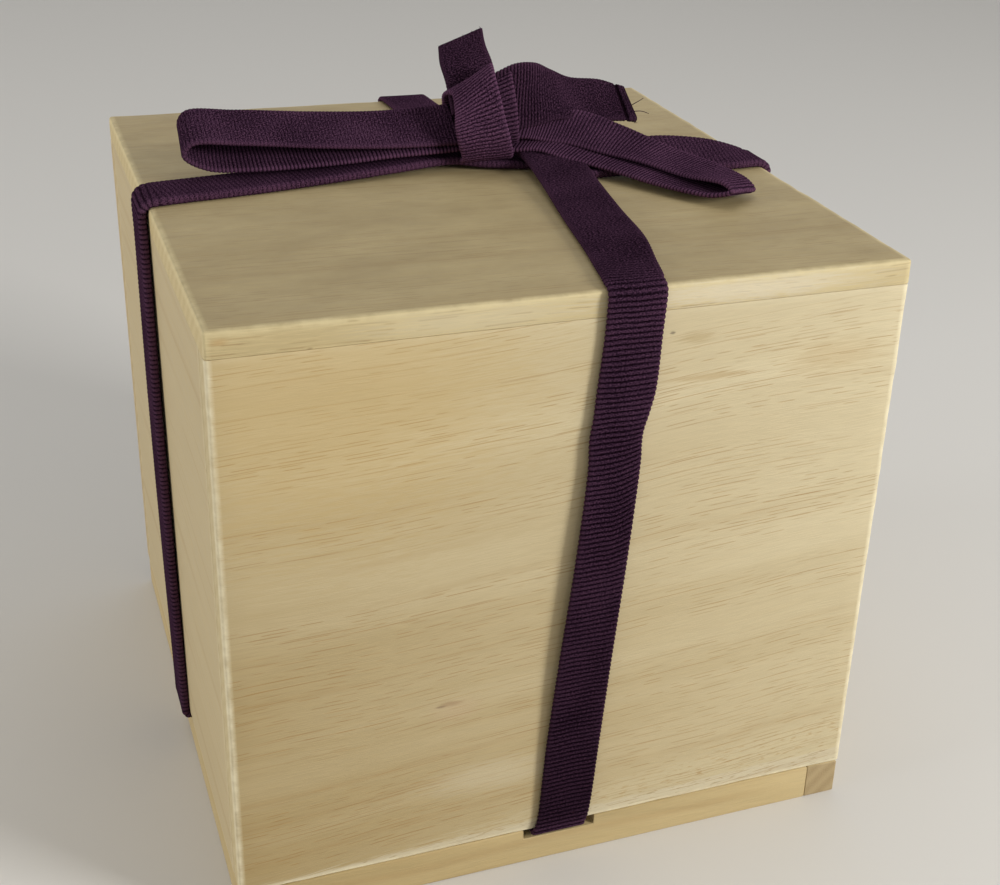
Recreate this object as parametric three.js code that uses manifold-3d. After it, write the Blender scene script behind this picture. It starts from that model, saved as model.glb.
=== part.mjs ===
// A cube-shaped storage box of thin paulownia board, with a lift-off lid and a base rim,
// tied both ways round with one ribbed tape that ends in a bow on the lid.
// Millimetres, +Z up. The origin is the middle of the underside; +X runs along the front.
import * as THREE from "three";
import { mergeVertices } from "three/addons/utils/BufferGeometryUtils.js";
import Module from "manifold-3d";

const wasm = await Module();
wasm.setup();

// The case
const boxWidth = 174;
const boxDepth = 175.5;
const wallThickness = 8;
const wallHeight = 148.2;
const bottomThickness = 7;
const boardEase = 0.3;
const glueLine = 0.1;

// The rim that the box stands on, with a notch for the tape in the middle of each side
const rimHeight = 11;
const rimWidth = 9.5;
const rimInset = 0.4;
const notchWidth = 20.5;
const notchDepth = 3;

// The lid: one board with four battens under it that drop inside the walls
const lidThickness = 6.5;
const lidEase = 0.6;
const lidSeam = 0.3;
const battenHeight = 8;
const battenWidth = 9;
const battenClearance = 0.5;

// Wooden pegs that pin the rim to the case and the battens to the lid
const rimPegDiameter = 2.4;
const rimPegLength = 20;
const battenPegDiameter = 2;
const battenPegLength = 11.5;
const pegSpacing = 96;
const pegSides = 12;

// The tape
const tapeWidth = 15;
const tapeThickness = 1.4;
const tapeGap = 0.3;
const lowStandOff = 0.5;
const highStandOff = 1.2;
const bendHeight = 2.6;
const underTurnRadius = 1.6;
const lidTurnRadius = 1.2;
const tapeSpanSteps = 6;

// The bow: the knot's place on the lid, its height, and how far each loop and tail reaches
const knotX = 6;
const knotY = 12;
const knotHeight = 24;
const leftLoopReach = 80;
const rightLoopReach = 75;
const standingTailReach = 30;
const lyingTailReach = 50;

// Where the middle of the tape crosses each lid edge, and where it meets its notch
const leftEdgeY = 3.6;
const rightEdgeY = -4.5;
const frontEdgeX = 12.4;
const backEdgeX = 5.3;
const notchShift = -0.7;

// Distance under which two vertices of one solid are the same
const weldDistance = 0.0001;

const halfWidth = boxWidth / 2;
const halfDepth = boxDepth / 2;
const innerWidth = boxWidth - 2 * wallThickness;
const innerDepth = boxDepth - 2 * wallThickness;
const wallTop = rimHeight + wallHeight;
const lidBottom = wallTop + lidSeam;
const lidTop = lidBottom + lidThickness;
const topLift = tapeGap + tapeThickness / 2;
const lowOut = lowStandOff + tapeThickness / 2;
const highOut = highStandOff + tapeThickness / 2;

const paulownia = { color: 0xd8c69c, roughness: 0.62, metalness: 0 };
const paulowniaEndGrain = { color: 0xc9b384, roughness: 0.7, metalness: 0 };
const pegWood = { color: 0xb99a66, roughness: 0.55, metalness: 0 };
const purpleTape = { color: 0x4b3358, roughness: 0.9, metalness: 0 };

const box = new THREE.Group();
const rim = new THREE.Group();
const lid = new THREE.Group();
const tie = new THREE.Group();
box.add(rim, lid, tie);

function place(parent, name, geometry, finish) {
  const mesh = new THREE.Mesh(geometry, new THREE.MeshStandardMaterial(finish));
  mesh.name = name;
  parent.add(mesh);
  return mesh;
}

// A closed three.js geometry as a manifold solid, and back again
function solid(geometry) {
  const bare = geometry.clone();
  bare.deleteAttribute("normal");
  bare.deleteAttribute("uv");
  const welded = mergeVertices(bare, weldDistance);
  return new wasm.Manifold(
    new wasm.Mesh({
      numProp: 3,
      vertProperties: welded.attributes.position.array,
      triVerts: welded.index.array,
    })
  );
}

function geometryOf(manifold) {
  const mesh = manifold.getMesh();
  const geometry = new THREE.BufferGeometry();
  geometry.setAttribute("position", new THREE.BufferAttribute(mesh.vertProperties, 3));
  geometry.setIndex(new THREE.BufferAttribute(mesh.triVerts, 1));
  const flat = geometry.toNonIndexed();
  flat.computeVertexNormals();
  return flat;
}

// A board lying in the XY plane and centred on the origin, with a small chamfer round both faces
function board(width, depth, thickness, ease = boardEase) {
  const outline = new THREE.Shape();
  outline.moveTo(-width / 2, -depth / 2);
  outline.lineTo(width / 2, -depth / 2);
  outline.lineTo(width / 2, depth / 2);
  outline.lineTo(-width / 2, depth / 2);
  outline.closePath();
  const geometry = new THREE.ExtrudeGeometry(outline, {
    depth: thickness - 2 * ease,
    bevelEnabled: true,
    bevelThickness: ease,
    bevelSize: ease,
    bevelOffset: -ease,
    bevelSegments: 1,
  });
  geometry.translate(0, 0, ease - thickness / 2);
  return geometry;
}

// The same board standing on edge: its width along X or along Y
function boardAlongX(width, height, thickness) {
  return board(width, height, thickness).rotateX(Math.PI / 2);
}

function boardAlongY(width, height, thickness) {
  return boardAlongX(width, height, thickness).rotateZ(Math.PI / 2);
}

// The four walls: front and back run the full width, left and right stand between them
const wallMiddle = rimHeight + wallHeight / 2;
const sideWallDepth = innerDepth - 2 * glueLine;
for (const [name, side] of [["front_wall", -1], ["back_wall", 1]]) {
  const wall = place(box, name, boardAlongX(boxWidth, wallHeight, wallThickness), paulownia);
  wall.position.set(0, side * (halfDepth - wallThickness / 2), wallMiddle);
}
for (const [name, side] of [["left_wall", -1], ["right_wall", 1]]) {
  const wall = place(box, name, boardAlongY(sideWallDepth, wallHeight, wallThickness), paulownia);
  wall.position.set(side * (halfWidth - wallThickness / 2), 0, wallMiddle);
}

// The bottom board sits between the walls, flush with their lower edges
const bottomBoard = place(
  box,
  "bottom_board",
  board(innerWidth - 2 * glueLine, innerDepth - 2 * glueLine, bottomThickness),
  paulownia
);
bottomBoard.position.z = rimHeight + bottomThickness / 2;

// Round holes for pegs, and the pegs, share one set of places along a strip
const pegShares = [-0.5, 0.5];
const pegPlaces = pegShares.map((share) => share * pegSpacing);

function pegGeometry(diameter, length, clearance = 0) {
  const radius = diameter / 2 + clearance;
  return new THREE.CylinderGeometry(radius, radius, length, pegSides).rotateX(Math.PI / 2);
}

function cutAway(geometry, cutters) {
  let body = solid(geometry);
  for (const cutter of cutters) body = body.subtract(solid(cutter));
  return geometryOf(body);
}

// Rim strips: left and right run the full depth, front and back butt between them
const rimTop = rimHeight - glueLine;
const rimWidthX = boxWidth - 2 * rimInset;
const rimDepthY = boxDepth - 2 * rimInset;
const frontStripLength = rimWidthX - 2 * rimWidth - 2 * glueLine;
const rimPegBottom = boardEase;
const rimPegMiddle = rimPegBottom + rimPegLength / 2;

function rimStrip(length) {
  const strip = board(length, rimWidth, rimTop);
  strip.translate(0, 0, rimTop / 2);
  const notch = new THREE.BoxGeometry(notchWidth, 2 * rimWidth, 2 * notchDepth);
  notch.translate(0, 0, rimHeight);
  const holes = pegPlaces.map((x) =>
    pegGeometry(rimPegDiameter, 4 * rimHeight, glueLine).translate(x, 0, 0)
  );
  return cutAway(strip, [notch, ...holes]);
}

const stripSpots = [
  ["front", frontStripLength, 0, -(rimDepthY - rimWidth) / 2, 0],
  ["back", frontStripLength, 0, (rimDepthY - rimWidth) / 2, 0],
  ["left", rimDepthY, -(rimWidthX - rimWidth) / 2, 0, Math.PI / 2],
  ["right", rimDepthY, (rimWidthX - rimWidth) / 2, 0, Math.PI / 2],
];
const rimPegSpots = [];
for (const [side, length, x, y, turn] of stripSpots) {
  const strip = place(rim, `rim_strip_${side}`, rimStrip(length).rotateZ(turn), paulowniaEndGrain);
  strip.position.set(x, y, 0);
  pegPlaces.forEach((along, i) => {
    const spot = turn ? [x, y + along] : [x + along, y];
    rimPegSpots.push([`rim_peg_${side}_${i + 1}`, ...spot]);
  });
}

// Each rim peg passes through its strip into the wall above, so the walls get the same holes
for (const [name, x, y] of rimPegSpots) {
  place(rim, name, pegGeometry(rimPegDiameter, rimPegLength), pegWood).position.set(x, y, rimPegMiddle);
}
for (const wall of box.children.filter((child) => child.name.endsWith("_wall"))) {
  const holes = rimPegSpots.map(([, x, y]) =>
    pegGeometry(rimPegDiameter, rimPegLength + 2 * glueLine, glueLine).translate(
      x - wall.position.x,
      y - wall.position.y,
      rimPegMiddle - wall.position.z
    )
  );
  wall.geometry = cutAway(wall.geometry, holes);
}

// The lid board
const lidBoard = place(lid, "lid_board", board(boxWidth, boxDepth, lidThickness, lidEase), paulownia);
lidBoard.position.z = lidBottom + lidThickness / 2;

// Lid battens: front and back run the full inner width, left and right fit between them
const battenSpanX = innerWidth - 2 * battenClearance;
const battenSpanY = innerDepth - 2 * battenClearance;
const battenBottom = lidBottom - glueLine - battenHeight;
const battenPegMiddle = battenBottom + battenPegLength / 2;
const sideBattenLength = battenSpanY - 2 * battenWidth - 2 * glueLine;
const battenSpots = [
  ["front", battenSpanX, 0, -(battenSpanY - battenWidth) / 2, 0],
  ["back", battenSpanX, 0, (battenSpanY - battenWidth) / 2, 0],
  ["left", sideBattenLength, -(battenSpanX - battenWidth) / 2, 0, Math.PI / 2],
  ["right", sideBattenLength, (battenSpanX - battenWidth) / 2, 0, Math.PI / 2],
];
const battenPegSpots = [];
for (const [side, length, x, y, turn] of battenSpots) {
  const holes = pegPlaces.map((along) =>
    pegGeometry(battenPegDiameter, 4 * battenHeight, glueLine).translate(along, 0, 0)
  );
  const geometry = cutAway(board(length, battenWidth, battenHeight), holes).rotateZ(turn);
  place(lid, `lid_batten_${side}`, geometry, paulownia).position.set(x, y, battenBottom + battenHeight / 2);
  pegPlaces.forEach((along, i) => {
    const spot = turn ? [x, y + along] : [x + along, y];
    battenPegSpots.push([`batten_peg_${side}_${i + 1}`, ...spot]);
  });
}
for (const [name, x, y] of battenPegSpots) {
  const peg = place(lid, name, pegGeometry(battenPegDiameter, battenPegLength), pegWood);
  peg.position.set(x, y, battenPegMiddle);
}
lidBoard.geometry = cutAway(
  lidBoard.geometry,
  battenPegSpots.map(([, x, y]) =>
    pegGeometry(battenPegDiameter, battenPegLength + 2 * glueLine, glueLine).translate(
      x,
      y,
      battenPegMiddle - lidBoard.position.z
    )
  )
);

// A flat tape swept along a route. Each row is the middle of the tape, then the way its width points.
// grow adds clearance all round, for cutting room for this tape out of another piece.
function tape(rows, grow = 0) {
  const route = new THREE.CatmullRomCurve3(rows.map(([x, y, z]) => new THREE.Vector3(x, y, z)));
  const sides = new THREE.CatmullRomCurve3(rows.map(([, , , x, y, z]) => new THREE.Vector3(x, y, z)));
  const count = (rows.length - 1) * tapeSpanSteps;
  const points = [];
  for (let i = 0; i <= count; i++) {
    const t = i / count;
    const tangent = route.getTangent(t);
    const middle = route.getPoint(t);
    if (i === 0) middle.addScaledVector(tangent, -grow);
    if (i === count) middle.addScaledVector(tangent, grow);
    const across = sides.getPoint(t).normalize();
    const normal = new THREE.Vector3().crossVectors(tangent, across).normalize();
    across.multiplyScalar(tapeWidth / 2 + grow);
    normal.multiplyScalar(tapeThickness / 2 + grow);
    for (const [a, n] of [[1, 1], [-1, 1], [-1, -1], [1, -1]]) {
      points.push(middle.clone().addScaledVector(across, a).addScaledVector(normal, n));
    }
  }
  const faces = [0, 3, 2, 0, 2, 1];
  for (let i = 0; i < count; i++) {
    for (let k = 0; k < 4; k++) {
      const [a, b] = [4 * i + k, 4 * i + ((k + 1) % 4)];
      faces.push(a, b, b + 4, a, b + 4, a + 4);
    }
  }
  const last = 4 * count;
  faces.push(last, last + 1, last + 2, last, last + 2, last + 3);
  const geometry = new THREE.BufferGeometry().setFromPoints(points);
  geometry.setIndex(faces);
  return geometry;
}

// The side of the tape's width when it lies flat along a heading in plan, raised by a tilt in degrees
function flatSide(headingX, headingY, tilt = 0) {
  const length = Math.hypot(headingX, headingY);
  const rise = THREE.MathUtils.degToRad(tilt);
  return [
    (-headingY / length) * Math.cos(rise),
    (headingX / length) * Math.cos(rise),
    Math.sin(rise),
  ];
}

// Steps of a quarter turn round an edge
const turnShares = [0, 0.25, 0.5, 0.75, 1];

// The tape slants a little as it climbs: how far its middle is from the centre line at a height
const bendTop = rimHeight + bendHeight;
const seamMiddle = wallTop + lidSeam / 2;

function shiftAt(edgeShift, z) {
  return THREE.MathUtils.mapLinear(z, bendTop, lidTop, notchShift, edgeShift);
}

// The underside: one run from left to right against the bottom board, and one below it from front
// to back. Both bend up at the notches to meet the standing legs.
const underZ = rimHeight - topLift;
const lowerUnderZ = underZ - tapeThickness - tapeGap;
const rampShares = [0.3, 0.12];
const [rampOut, rampIn] = rampShares.map((share) => share * boxWidth);

function underRun(half, dipZ, along) {
  const outside = half + lowOut;
  const side = [[outside, bendTop]];
  for (const share of turnShares) {
    const turn = (share * Math.PI) / 2;
    const bend = underTurnRadius * (1 - Math.cos(turn));
    side.push([outside - bend, underZ + underTurnRadius * (1 - Math.sin(turn))]);
  }
  side.push([half - rimWidth, underZ], [rampOut, underZ], [rampIn, dipZ]);
  const ends = [...side.map(([p, z]) => [-p, z]), ...side.reverse()];
  return ends.map(([p, z]) => (along === "x" ? [p, notchShift, z, 0, 1, 0] : [notchShift, p, z, 1, 0, 0]));
}

place(tie, "tape_under_left_to_right", tape(underRun(halfWidth, underZ, "x")), purpleTape);
place(tie, "tape_under_front_to_back", tape(underRun(halfDepth, lowerUnderZ, "y")), purpleTape);

// The four standing legs, from the bend at the notch up to the seam under the lid
const legShares = [0, 0.3, 0.65, 1];

function standingLeg(half, edgeShift, direction, along) {
  const rows = legShares.map((share) => {
    const out = direction * (half + THREE.MathUtils.lerp(lowOut, highOut, share));
    const z = THREE.MathUtils.lerp(bendTop + tapeGap, seamMiddle - tapeGap / 2, share);
    const shift = shiftAt(edgeShift, z);
    return along === "x" ? [out, shift, z, 0, 1, 0] : [shift, out, z, 1, 0, 0];
  });
  return tape(rows);
}

place(tie, "tape_leg_left", standingLeg(halfWidth, leftEdgeY, -1, "x"), purpleTape);
place(tie, "tape_leg_right", standingLeg(halfWidth, rightEdgeY, 1, "x"), purpleTape);
place(tie, "tape_leg_front", standingLeg(halfDepth, frontEdgeX, -1, "y"), purpleTape);
place(tie, "tape_leg_back", standingLeg(halfDepth, backEdgeX, 1, "y"), purpleTape);

// The four runs over the lid, from the seam round the lid's edge to the knot.
// Each lid place is [share of the way to the root, lift, tilt in degrees].

function lidRun(half, edgeShift, direction, along, root, places) {
  const edge = along === "x" ? [direction * half, edgeShift] : [edgeShift, direction * half];
  const at = (out, z) =>
    along === "x"
      ? [direction * (half + out), shiftAt(edgeShift, z), z, 0, 1, 0]
      : [shiftAt(edgeShift, z), direction * (half + out), z, 1, 0, 0];
  const rows = [at(highOut, seamMiddle + tapeGap / 2)];
  for (const share of turnShares) {
    const turn = (share * Math.PI) / 2;
    const out = (highOut + lidTurnRadius) * Math.cos(turn);
    const up = (topLift + lidTurnRadius) * Math.sin(turn);
    rows.push(at(out - lidTurnRadius, lidTop - lidTurnRadius + up));
  }
  const [runX, runY] = [root[0] - edge[0], root[1] - edge[1]];
  const turned = (along === "x" ? runX : -runY) < 0 ? -1 : 1;
  for (const [share, lift, tilt] of places) {
    const side = flatSide(turned * runX, turned * runY, tilt);
    const z = lidTop + topLift + lift + (side[2] * tapeWidth) / 2;
    rows.push([edge[0] + share * runX, edge[1] + share * runY, z, ...side]);
  }
  return rows;
}

// Lifts above the lid, as shares of the knot's height
const leftRunShares = [[0.03, 0, 0], [0.35, 0, 0], [0.68, 0, 0], [1, 0.005, 0]];
const rightRunShares = [[0.03, 0, 2], [0.175, 0, 14], [0.335, 0, 20], [0.47, 0, 22], [0.6, 0, 17], [0.8, 0, 3], [1, 0, 0]];
const frontRunShares = [[0.03, 0, 0], [0.25, 0, 0], [0.5, 0.01, 0], [0.78, 0.06, 0], [0.92, 0.11, 0], [1, 0.15, 0]];
const backRunShares = [[0.03, 0, 0], [0.4, 0, 0], [0.75, 0.01, 0], [1, 0.05, 0]];
const lifted = (shares) => shares.map(([share, lift, tilt]) => [share, lift * knotHeight, tilt]);

// Where each run ends at the knot, as shares of the knot's height from the knot's place
const leftRootShares = [-0.35, 0.18];
const rightRootShares = [0.45, -0.5];
const frontRootShares = [0.86, -0.2];
const backRootShares = [0.14, 0.5];
const rootOf = ([x, y]) => [knotX + x * knotHeight, knotY + y * knotHeight];

// The bow's own rows, measured from the knot: place as shares of two sizes, then the width's way
function bowRows(table, reach) {
  return table.map(([x, y, z, ...side]) => [knotX + x * reach, knotY + y * reach, lidTop + z * knotHeight, ...side]);
}

const wrapShares = [
  [0.07, -0.13, 0.115, 1, 0, 0],
  [0.04, -0.27, 0.21, 1, 0, 0.04],
  [-0.04, -0.35, 0.42, 1, 0, 0.12],
  [-0.09, -0.31, 0.65, 1, 0, 0.25],
  [-0.11, -0.17, 0.87, 0.9, 0, 0.42],
  [-0.08, 0.04, 0.98, 0.9, 0, 0.42],
  [-0.04, 0.25, 0.9, 1, 0, 0.3],
  [0, 0.375, 0.7, 1, 0, 0.2],
  [0.04, 0.41, 0.42, 1, 0, 0.1],
  [0.07, 0.34, 0.21, 1, 0, 0],
  [0.08, 0.2, 0.115, 1, 0, 0],
];
const foldShares = [
  [0.3, -0.06, 0.26, 1, 0, 0],
  [0.27, -0.16, 0.32, 1, 0, 0.04],
  [0.2, -0.24, 0.46, 1, 0, 0.12],
  [0.15, -0.23, 0.65, 1, 0, 0.25],
  [0.12, -0.13, 0.86, 0.9, 0, 0.38],
  [0.15, 0.04, 0.97, 0.9, 0, 0.38],
  [0.19, 0.2, 0.88, 1, 0, 0.3],
  [0.23, 0.3, 0.68, 1, 0, 0.2],
  [0.27, 0.33, 0.46, 1, 0, 0.1],
  [0.3, 0.27, 0.3, 1, 0, 0],
  [0.31, 0.16, 0.22, 1, 0, 0],
];
const leftLoopShares = [
  [-0.075, 0.03, 0.362, 0, 0.84, 0.55],
  [-0.325, 0.038, 0.304, 0, 0.95, 0.3],
  [-0.463, 0.038, 0.304, 0, 0.95, 0.3],
  [-0.787, 0.04, 0.304, 0, 0.95, 0.3],
  [-0.938, 0.039, 0.354, 0, 0.94, 0.33],
  [-1.004, 0.037, 0.5, 0, 0.94, 0.33],
  [-0.975, 0.037, 0.621, 0, 0.93, 0.36],
  [-0.825, 0.04, 0.583, 0, 0.96, 0.28],
  [-0.575, 0.044, 0.475, 0, 0.98, 0.2],
  [-0.325, 0.036, 0.45, 0, 0.94, 0.35],
  [-0.075, 0.029, 0.483, 0, 0.85, 0.53],
];
const rightLoopShares = [
  [0.187, 0.013, 0.308, 0.62, 0.72, 0.3],
  [0.36, -0.1, 0.242, 0.75, 0.62, 0.2],
  [0.499, -0.235, 0.179, 0.82, 0.55, 0.12],
  [0.603, -0.403, 0.129, 0.86, 0.5, 0.05],
  [0.687, -0.527, 0.087, 0.88, 0.47, 0],
  [0.733, -0.593, 0.079, 0.89, 0.45, 0],
  [0.763, -0.637, 0.138, 0.9, 0.43, 0],
  [0.765, -0.593, 0.2, 0.91, 0.42, 0],
  [0.719, -0.429, 0.204, 0.88, 0.47, 0.04],
  [0.619, -0.251, 0.25, 0.82, 0.56, 0.1],
  [0.501, -0.121, 0.329, 0.7, 0.67, 0.24],
  [0.377, -0.015, 0.4, 0.62, 0.71, 0.34],
  [0.187, 0.033, 0.425, 0.62, 0.72, 0.34],
];
const standingTailShares = [
  [0, 0.1, 0.75, 1, 0.05, 0.35],
  [-0.03, 0.25, 1.03, 1, 0.1, 0.32],
  [-0.03, 0.45, 1.19, 1, 0.15, 0.3],
  [0.02, 0.66, 1.3, 1, 0.2, 0.3],
];
const lyingTailShares = [
  [0.2, -0.06, 0.86, 0.15, 0.2, 0.95],
  [0.42, -0.01, 0.8125, 0.05, 0.45, 0.88],
  [0.58, 0.04, 0.75, 0, 0.65, 0.75],
  [0.77, 0.05, 0.69, 0.1, 0.75, 0.65],
  [0.94, 0.06, 0.64, 0.1, 0.85, 0.53],
];

// The bunched tape inside the wrap, as an egg
const coreRadiusShares = [0.33, 0.25, 0.3];
const coreMiddleShares = [0.12, 0.03, 0.55];
const coreTurns = 24;

function core(grow = 0) {
  const radii = coreRadiusShares.map((share) => share * knotHeight + grow);
  const [coreX, coreY, coreZ] = coreMiddleShares.map((share) => share * knotHeight);
  return new THREE.SphereGeometry(1, coreTurns, coreTurns / 2)
    .scale(...radii)
    .translate(knotX + coreX, knotY + coreY, lidTop + coreZ);
}

const bowPieces = [
  ["knot_wrap", (grow) => tape(bowRows(wrapShares, knotHeight), grow)],
  ["knot_core", core],
  ["knot_fold", (grow) => tape(bowRows(foldShares, knotHeight), grow)],
  ["tape_over_lid_left", (grow) =>
    tape(lidRun(halfWidth, leftEdgeY, -1, "x", rootOf(leftRootShares), lifted(leftRunShares)), grow)],
  ["tape_over_lid_right", (grow) =>
    tape(lidRun(halfWidth, rightEdgeY, 1, "x", rootOf(rightRootShares), lifted(rightRunShares)), grow)],
  ["tape_over_lid_front", (grow) =>
    tape(lidRun(halfDepth, frontEdgeX, -1, "y", rootOf(frontRootShares), lifted(frontRunShares)), grow)],
  ["tape_over_lid_back", (grow) =>
    tape(lidRun(halfDepth, backEdgeX, 1, "y", rootOf(backRootShares), lifted(backRunShares)), grow)],
  ["bow_loop_left", (grow) => tape(bowRows(leftLoopShares, leftLoopReach), grow)],
  ["bow_loop_right", (grow) => tape(bowRows(rightLoopShares, rightLoopReach), grow)],
  ["bow_tail_standing", (grow) => tape(bowRows(standingTailShares, standingTailReach), grow)],
  ["bow_tail_lying", (grow) => tape(bowRows(lyingTailShares, lyingTailReach), grow)],
];

// Each piece keeps clear of those before it. What is left of it outside the knot is its visible run.
const roomFor = [];
for (const [name, make] of bowPieces) {
  let body = solid(make(0));
  for (const taken of roomFor) body = body.subtract(taken);
  const runs = body.decompose();
  const whole = runs.reduce((a, b) => (b.volume() > a.volume() ? b : a));
  place(tie, name, geometryOf(whole), purpleTape);
  roomFor.push(solid(make(tapeGap)));
}

export default box;
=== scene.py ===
import math
import random

import bmesh
import bpy
from mathutils import Euler, Matrix, Vector, noise


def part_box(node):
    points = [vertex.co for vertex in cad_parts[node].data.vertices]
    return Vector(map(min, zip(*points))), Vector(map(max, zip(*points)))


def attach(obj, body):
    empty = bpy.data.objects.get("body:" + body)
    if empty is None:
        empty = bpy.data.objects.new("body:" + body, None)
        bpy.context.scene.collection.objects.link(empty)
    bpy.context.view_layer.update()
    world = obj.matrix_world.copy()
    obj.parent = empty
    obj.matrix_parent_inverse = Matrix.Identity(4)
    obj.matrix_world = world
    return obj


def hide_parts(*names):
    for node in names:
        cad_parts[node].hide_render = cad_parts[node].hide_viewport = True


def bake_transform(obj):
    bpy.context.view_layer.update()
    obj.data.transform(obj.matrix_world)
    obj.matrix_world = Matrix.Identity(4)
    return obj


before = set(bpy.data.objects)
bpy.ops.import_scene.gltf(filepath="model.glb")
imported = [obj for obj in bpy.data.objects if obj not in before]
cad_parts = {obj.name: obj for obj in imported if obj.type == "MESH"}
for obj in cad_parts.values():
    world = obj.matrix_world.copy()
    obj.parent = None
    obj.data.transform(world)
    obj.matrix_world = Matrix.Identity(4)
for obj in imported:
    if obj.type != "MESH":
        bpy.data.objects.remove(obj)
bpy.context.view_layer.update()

random.seed(7)
mm = 0.001
print("frame loaded:", len(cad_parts), "nodes")

# Camera: where the photograph was taken from, looking down past the front left corner
view = {
    "lens": 55.22,
    "sensor": 36,
    "shift": (-0.0529, -0.0258),
    "clip": (0.02, 30),
    "place": (-0.12738, -0.38904, 0.29379),
    # its right, its up and its back
    "axes": ((0.93477, -0.35319, 0.03819), (0.12299, 0.42262, 0.89792), (-0.33327, -0.83466, 0.43849)),
}
cameraData = bpy.data.cameras.new("studioCamera")
cameraData.lens = view["lens"]
cameraData.sensor_width = view["sensor"]
cameraData.shift_x, cameraData.shift_y = view["shift"]
cameraData.clip_start, cameraData.clip_end = view["clip"]
camera = bpy.data.objects.new("studioCamera", cameraData)
bpy.context.scene.collection.objects.link(camera)
camera.matrix_world = Matrix.Translation(view["place"]) @ Matrix(view["axes"]).transposed().to_4x4()
bpy.context.scene.camera = camera
bpy.context.scene.view_settings.view_transform = "Standard"


def colour(code):
    # sRGB hex to linear
    channels = [int(code[i:i + 2], 16) / 255 for i in (1, 3, 5)]
    return tuple(c / 12.92 if c <= 0.04045 else ((c + 0.055) / 1.055) ** 2.4 for c in channels) + (1.0,)


def addNode(tree, kind, values=None, links=None, **settings):
    node = tree.nodes.new("ShaderNode" + kind)
    for name, value in settings.items():
        setattr(node, name, value)
    for socket, value in (values or {}).items():
        node.inputs[socket].default_value = value
    for socket, source in (links or {}).items():
        tree.links.new(source, node.inputs[socket])
    return node


def newMaterial(name):
    material = bpy.data.materials.new(name)
    material.use_nodes = True
    tree = material.node_tree
    tree.nodes.clear()
    return material, tree


# Studio: a soft lamp well round to the right, a broad fill on the left, a pale floor
studio = {
    "key": {"place": (0.85, -0.87, 0.58), "size": 0.36, "power": 11.9},
    "fill": {"place": (-1.6, 0.12, 0.45), "size": 0.9, "power": 9.4},
    "top": {"place": (0.1, 0.35, 1.6), "size": 1.1, "power": 3.6},
    "aim": (0, 0, 0.09),
    "world": 0.34,
    "background": "#f1f0ed",
    "floor": "#dedbd5",
    "floorSize": 9.0,
    "gritScale": 900.0,
    "gritDepth": 0.0002,
}
for lampName in ("key", "fill", "top"):
    lamp = studio[lampName]
    lampData = bpy.data.lights.new(lampName + "Lamp", "AREA")
    lampData.shape = "SQUARE"
    lampData.size = lamp["size"]
    lampData.energy = lamp["power"]
    lampObject = bpy.data.objects.new(lampName + "Lamp", lampData)
    bpy.context.scene.collection.objects.link(lampObject)
    lampObject.location = lamp["place"]
    aim = Vector(studio["aim"]) - Vector(lamp["place"])
    lampObject.rotation_euler = aim.to_track_quat("-Z", "Y").to_euler()

# a grey world lights the object, and a pale one stands behind it
world = bpy.data.worlds.new("studioWorld")
bpy.context.scene.world = world
world.use_nodes = True
tree = world.node_tree
tree.nodes.clear()
rays = addNode(tree, "LightPath")
seen = addNode(tree, "Math", links={0: rays.outputs["Is Camera Ray"], 1: rays.outputs["Is Glossy Ray"]},
               operation="MAXIMUM")
seen = addNode(tree, "Math", links={0: seen.outputs[0], 1: rays.outputs["Is Transmission Ray"]},
               operation="MAXIMUM")
soft = addNode(tree, "Background", {"Color": (1, 1, 1, 1), "Strength": studio["world"]})
pale = addNode(tree, "Background", {"Color": colour(studio["background"]), "Strength": 1.0})
both = addNode(tree, "MixShader", links={0: seen.outputs[0], 1: soft.outputs[0], 2: pale.outputs[0]})
addNode(tree, "OutputWorld", links={"Surface": both.outputs[0]})

# Floor: matt painted board, so it only holds the shadow
paintedBoard, tree = newMaterial("mattPaintedBoard")
place = addNode(tree, "TexCoord")
grit = addNode(tree, "TexNoise", {"Scale": studio["gritScale"], "Detail": 2.0},
               {"Vector": place.outputs["Object"]})
bump = addNode(tree, "Bump", {"Strength": 0.05, "Distance": studio["gritDepth"]}, {"Height": grit.outputs[0]})
shader = addNode(tree, "BsdfPrincipled", {"Base Color": colour(studio["floor"]), "Roughness": 0.85},
                 {"Normal": bump.outputs[0]})
addNode(tree, "OutputMaterial", links={"Surface": shader.outputs[0]})
bm = bmesh.new()
bmesh.ops.create_grid(bm, x_segments=1, y_segments=1, size=studio["floorSize"] / 2)
floorMesh = bpy.data.meshes.new("studioFloor")
bm.to_mesh(floorMesh)
bm.free()
floorMesh.materials.append(paintedBoard)
floor = bpy.data.objects.new("studioFloor", floorMesh)
bpy.context.scene.collection.objects.link(floor)
print("studio ready")


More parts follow.
